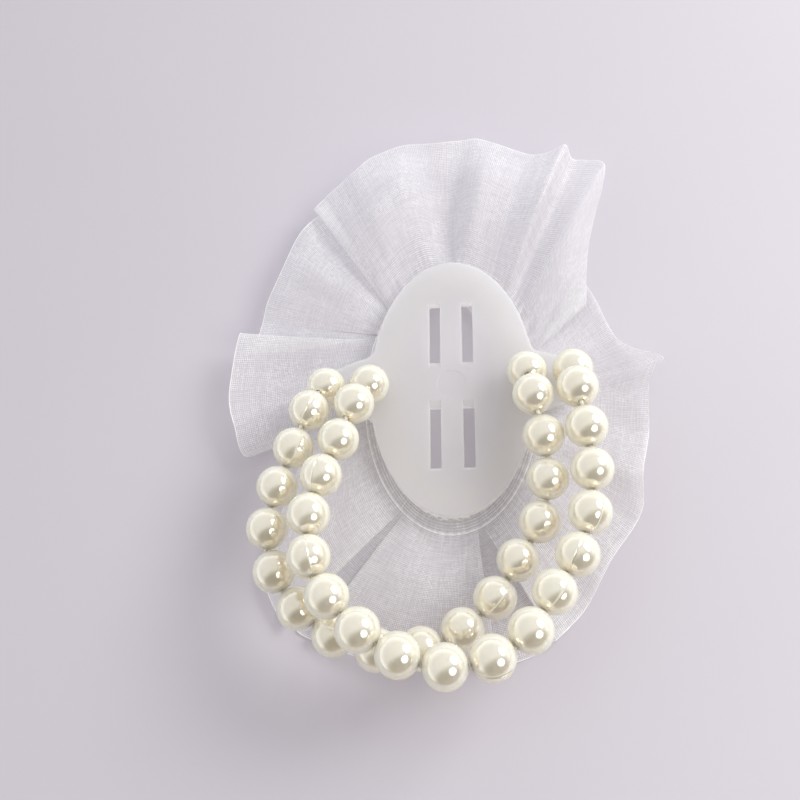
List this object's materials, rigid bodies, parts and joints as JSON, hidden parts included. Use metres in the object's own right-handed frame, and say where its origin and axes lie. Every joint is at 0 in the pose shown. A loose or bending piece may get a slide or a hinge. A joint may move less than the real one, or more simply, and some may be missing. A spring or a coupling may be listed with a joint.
{
  "type": "wrist corsage base",
  "caption": "Wrist corsage base: oval frosted plate with ribbon slots and ears, a gathered organza ruffle under it, and crossing strands of imitation pearls on an elastic wrist loop.",
  "frame": {"origin": "centre of the plate's flower face, the underside that the flowers are fixed to", "axes": "+Z out of the wrist face, +Y along the plate's long axis away from the side the pearl loop leans to, +X to the right ear"},
  "size_m": [0.0896, 0.1181, 0.0285],
  "materials": {
    "frosted_plastic": "frosted, translucent",
    "hot_melt_glue": "cloudy, translucent",
    "organza": "sheer weave with a silky sheen",
    "thread": "matt sewing thread",
    "elastic": "clear, slightly milky",
    "pearl": "pearlescent ivory coating"
  },
  "bodies": {
    "base": {"base_plate": "frosted_plastic", "glue_ring": "hot_melt_glue", "organza_ruffle": "organza", "gathering_thread": "thread", "ear_tie_left": "elastic", "ear_tie_right": "elastic"},
    "pearl_loop": {"elastic_strand_a": "elastic", "elastic_strand_b": "elastic"},
    "pearl_a_01": {"pearl_a_01": "pearl"},
    "pearl_a_02": {"pearl_a_02": "pearl"},
    "pearl_a_03": {"pearl_a_03": "pearl"},
    "pearl_a_04": {"pearl_a_04": "pearl"},
    "pearl_a_05": {"pearl_a_05": "pearl"},
    "pearl_a_06": {"pearl_a_06": "pearl"},
    "pearl_a_07": {"pearl_a_07": "pearl"},
    "pearl_a_08": {"pearl_a_08": "pearl"},
    "pearl_a_09": {"pearl_a_09": "pearl"},
    "pearl_a_10": {"pearl_a_10": "pearl"},
    "pearl_a_11": {"pearl_a_11": "pearl"},
    "pearl_a_12": {"pearl_a_12": "pearl"},
    "pearl_a_13": {"pearl_a_13": "pearl"},
    "pearl_a_14": {"pearl_a_14": "pearl"},
    "pearl_a_15": {"pearl_a_15": "pearl"},
    "pearl_a_16": {"pearl_a_16": "pearl"},
    "pearl_a_17": {"pearl_a_17": "pearl"},
    "pearl_a_18": {"pearl_a_18": "pearl"},
    "pearl_a_19": {"pearl_a_19": "pearl"},
    "pearl_b_01": {"pearl_b_01": "pearl"},
    "pearl_b_02": {"pearl_b_02": "pearl"},
    "pearl_b_03": {"pearl_b_03": "pearl"},
    "pearl_b_04": {"pearl_b_04": "pearl"},
    "pearl_b_05": {"pearl_b_05": "pearl"},
    "pearl_b_06": {"pearl_b_06": "pearl"},
    "pearl_b_07": {"pearl_b_07": "pearl"},
    "pearl_b_08": {"pearl_b_08": "pearl"},
    "pearl_b_09": {"pearl_b_09": "pearl"},
    "pearl_b_10": {"pearl_b_10": "pearl"},
    "pearl_b_11": {"pearl_b_11": "pearl"},
    "pearl_b_12": {"pearl_b_12": "pearl"},
    "pearl_b_13": {"pearl_b_13": "pearl"},
    "pearl_b_14": {"pearl_b_14": "pearl"},
    "pearl_b_15": {"pearl_b_15": "pearl"},
    "pearl_b_16": {"pearl_b_16": "pearl"},
    "pearl_b_17": {"pearl_b_17": "pearl"},
    "pearl_b_18": {"pearl_b_18": "pearl"}
  },
  "joints": [
    {"name": "loop_fold", "type": "hinge", "parent": "base", "child": "pearl_loop", "pos_m": [-0.00045, -0.00037, 0.00637], "axis": [-0.9993, -0.0363, -0.0029], "range_deg": [0, 135]},
    {"name": "pearl_a_01_spin", "type": "hinge", "parent": "pearl_loop", "child": "pearl_a_01", "pos_m": [-0.0163, -0.00098, 0.00629], "axis": [-0.1952, -0.5279, 0.8266], "continuous": true},
    {"name": "pearl_a_02_spin", "type": "hinge", "parent": "pearl_loop", "child": "pearl_a_02", "pos_m": [-0.01837, -0.0068, 0.0116], "axis": [-0.297, -0.8505, 0.4341], "continuous": true},
    {"name": "pearl_a_03_spin", "type": "hinge", "parent": "pearl_loop", "child": "pearl_a_03", "pos_m": [-0.02097, -0.01436, 0.01312], "axis": [-0.3291, -0.9208, 0.2091], "continuous": true},
    {"name": "pearl_a_04_spin", "type": "hinge", "parent": "pearl_loop", "child": "pearl_a_04", "pos_m": [-0.02373, -0.02179, 0.015], "axis": [-0.2745, -0.9344, 0.2269], "continuous": true},
    {"name": "pearl_a_05_spin", "type": "hinge", "parent": "pearl_loop", "child": "pearl_a_05", "pos_m": [-0.02543, -0.02954, 0.01681], "axis": [-0.0623, -0.9755, 0.2108], "continuous": true},
    {"name": "pearl_a_06_spin", "type": "hinge", "parent": "pearl_loop", "child": "pearl_a_06", "pos_m": [-0.02473, -0.03749, 0.01839], "axis": [0.2776, -0.9453, 0.1715], "continuous": true},
    {"name": "pearl_a_07_spin", "type": "hinge", "parent": "pearl_loop", "child": "pearl_a_07", "pos_m": [-0.021, -0.04463, 0.01955], "axis": [0.5841, -0.8028, 0.1198], "continuous": true},
    {"name": "pearl_a_08_spin", "type": "hinge", "parent": "pearl_loop", "child": "pearl_a_08", "pos_m": [-0.01533, -0.05042, 0.02032], "axis": [0.7845, -0.6166, 0.066], "continuous": true},
    {"name": "pearl_a_09_spin", "type": "hinge", "parent": "pearl_loop", "child": "pearl_a_09", "pos_m": [-0.00834, -0.05458, 0.02061], "axis": [0.9259, -0.3779, -0.0031], "continuous": true},
    {"name": "pearl_a_10_spin", "type": "hinge", "parent": "pearl_loop", "child": "pearl_a_10", "pos_m": [-0.00043, -0.05649, 0.02027], "axis": [0.9952, -0.0281, -0.0933], "continuous": true},
    {"name": "pearl_a_11_spin", "type": "hinge", "parent": "pearl_loop", "child": "pearl_a_11", "pos_m": [0.00749, -0.05503, 0.01913], "axis": [0.9074, 0.3793, -0.1813], "continuous": true},
    {"name": "pearl_a_12_spin", "type": "hinge", "parent": "pearl_loop", "child": "pearl_a_12", "pos_m": [0.014, -0.05046, 0.01739], "axis": [0.6776, 0.6988, -0.2291], "continuous": true},
    {"name": "pearl_a_13_spin", "type": "hinge", "parent": "pearl_loop", "child": "pearl_a_13", "pos_m": [0.01834, -0.04385, 0.01546], "axis": [0.5368, 0.816, -0.2145], "continuous": true},
    {"name": "pearl_a_14_spin", "type": "hinge", "parent": "pearl_loop", "child": "pearl_a_14", "pos_m": [0.02274, -0.03718, 0.0139], "axis": [0.4398, 0.8859, -0.1472], "continuous": true},
    {"name": "pearl_a_15_spin", "type": "hinge", "parent": "pearl_loop", "child": "pearl_a_15", "pos_m": [0.02544, -0.02954, 0.01308], "axis": [0.2205, 0.9728, -0.0706], "continuous": true},
    {"name": "pearl_a_16_spin", "type": "hinge", "parent": "pearl_loop", "child": "pearl_a_16", "pos_m": [0.0263, -0.02146, 0.01276], "axis": [0.0213, 0.9994, -0.0274], "continuous": true},
    {"name": "pearl_a_17_spin", "type": "hinge", "parent": "pearl_loop", "child": "pearl_a_17", "pos_m": [0.02578, -0.01333, 0.01264], "axis": [-0.1035, 0.994, -0.036], "continuous": true},
    {"name": "pearl_a_18_spin", "type": "hinge", "parent": "pearl_loop", "child": "pearl_a_18", "pos_m": [0.02462, -0.00529, 0.01217], "axis": [-0.0971, 0.9067, -0.4104], "continuous": true},
    {"name": "pearl_a_19_spin", "type": "hinge", "parent": "pearl_loop", "child": "pearl_a_19", "pos_m": [0.02431, 0.00044, 0.0064], "axis": [0.0299, 0.4874, -0.8727], "continuous": true},
    {"name": "pearl_b_01_spin", "type": "hinge", "parent": "pearl_loop", "child": "pearl_b_01", "pos_m": [-0.02521, -0.00126, 0.00631], "axis": [-0.2105, -0.5716, 0.7931], "continuous": true},
    {"name": "pearl_b_02_spin", "type": "hinge", "parent": "pearl_loop", "child": "pearl_b_02", "pos_m": [-0.02747, -0.00763, 0.01094], "axis": [-0.3143, -0.8937, 0.3202], "continuous": true},
    {"name": "pearl_b_03_spin", "type": "hinge", "parent": "pearl_loop", "child": "pearl_b_03", "pos_m": [-0.03017, -0.01535, 0.01136], "axis": [-0.3346, -0.9412, 0.0468], "continuous": true},
    {"name": "pearl_b_04_spin", "type": "hinge", "parent": "pearl_loop", "child": "pearl_b_04", "pos_m": [-0.03295, -0.02305, 0.01171], "axis": [-0.2655, -0.9638, 0.0258], "continuous": true},
    {"name": "pearl_b_05_spin", "type": "hinge", "parent": "pearl_loop", "child": "pearl_b_05", "pos_m": [-0.0345, -0.03109, 0.01178], "axis": [0.0068, -0.9999, -0.012], "continuous": true},
    {"name": "pearl_b_06_spin", "type": "hinge", "parent": "pearl_loop", "child": "pearl_b_06", "pos_m": [-0.03284, -0.03911, 0.01152], "axis": [0.3958, -0.9171, -0.048], "continuous": true},
    {"name": "pearl_b_07_spin", "type": "hinge", "parent": "pearl_loop", "child": "pearl_b_07", "pos_m": [-0.02815, -0.0458, 0.01101], "axis": [0.7011, -0.7101, -0.0655], "continuous": true},
    {"name": "pearl_b_08_spin", "type": "hinge", "parent": "pearl_loop", "child": "pearl_b_08", "pos_m": [-0.02151, -0.05058, 0.01046], "axis": [0.8903, -0.4498, -0.0712], "continuous": true},
    {"name": "pearl_b_09_spin", "type": "hinge", "parent": "pearl_loop", "child": "pearl_b_09", "pos_m": [-0.01374, -0.05309, 0.00986], "axis": [0.9866, -0.1436, -0.0779], "continuous": true},
    {"name": "pearl_b_10_spin", "type": "hinge", "parent": "pearl_loop", "child": "pearl_b_10", "pos_m": [-0.00558, -0.0529, 0.0092], "axis": [0.9712, 0.2208, -0.0892], "continuous": true},
    {"name": "pearl_b_11_spin", "type": "hinge", "parent": "pearl_loop", "child": "pearl_b_11", "pos_m": [0.00186, -0.04954, 0.00843], "axis": [0.8274, 0.5542, -0.091], "continuous": true},
    {"name": "pearl_b_12_spin", "type": "hinge", "parent": "pearl_loop", "child": "pearl_b_12", "pos_m": [0.00779, -0.04394, 0.00773], "axis": [0.6372, 0.7678, -0.0662], "continuous": true},
    {"name": "pearl_b_13_spin", "type": "hinge", "parent": "pearl_loop", "child": "pearl_b_13", "pos_m": [0.01222, -0.03705, 0.00735], "axis": [0.532, 0.8467, -0.008], "continuous": true},
    {"name": "pearl_b_14_spin", "type": "hinge", "parent": "pearl_loop", "child": "pearl_b_14", "pos_m": [0.0165, -0.03008, 0.0076], "axis": [0.3789, 0.921, 0.0911], "continuous": true},
    {"name": "pearl_b_15_spin", "type": "hinge", "parent": "pearl_loop", "child": "pearl_b_15", "pos_m": [0.01833, -0.02219, 0.00882], "axis": [0.083, 0.9819, 0.1705], "continuous": true},
    {"name": "pearl_b_16_spin", "type": "hinge", "parent": "pearl_loop", "child": "pearl_b_16", "pos_m": [0.01785, -0.01416, 0.01036], "axis": [-0.1265, 0.9797, 0.1558], "continuous": true},
    {"name": "pearl_b_17_spin", "type": "hinge", "parent": "pearl_loop", "child": "pearl_b_17", "pos_m": [0.01627, -0.00618, 0.01137], "axis": [-0.1617, 0.9528, -0.2569], "continuous": true},
    {"name": "pearl_b_18_spin", "type": "hinge", "parent": "pearl_loop", "child": "pearl_b_18", "pos_m": [0.01539, 0.00032, 0.00646], "axis": [-0.004, 0.5337, -0.8456], "continuous": true}
  ]
}
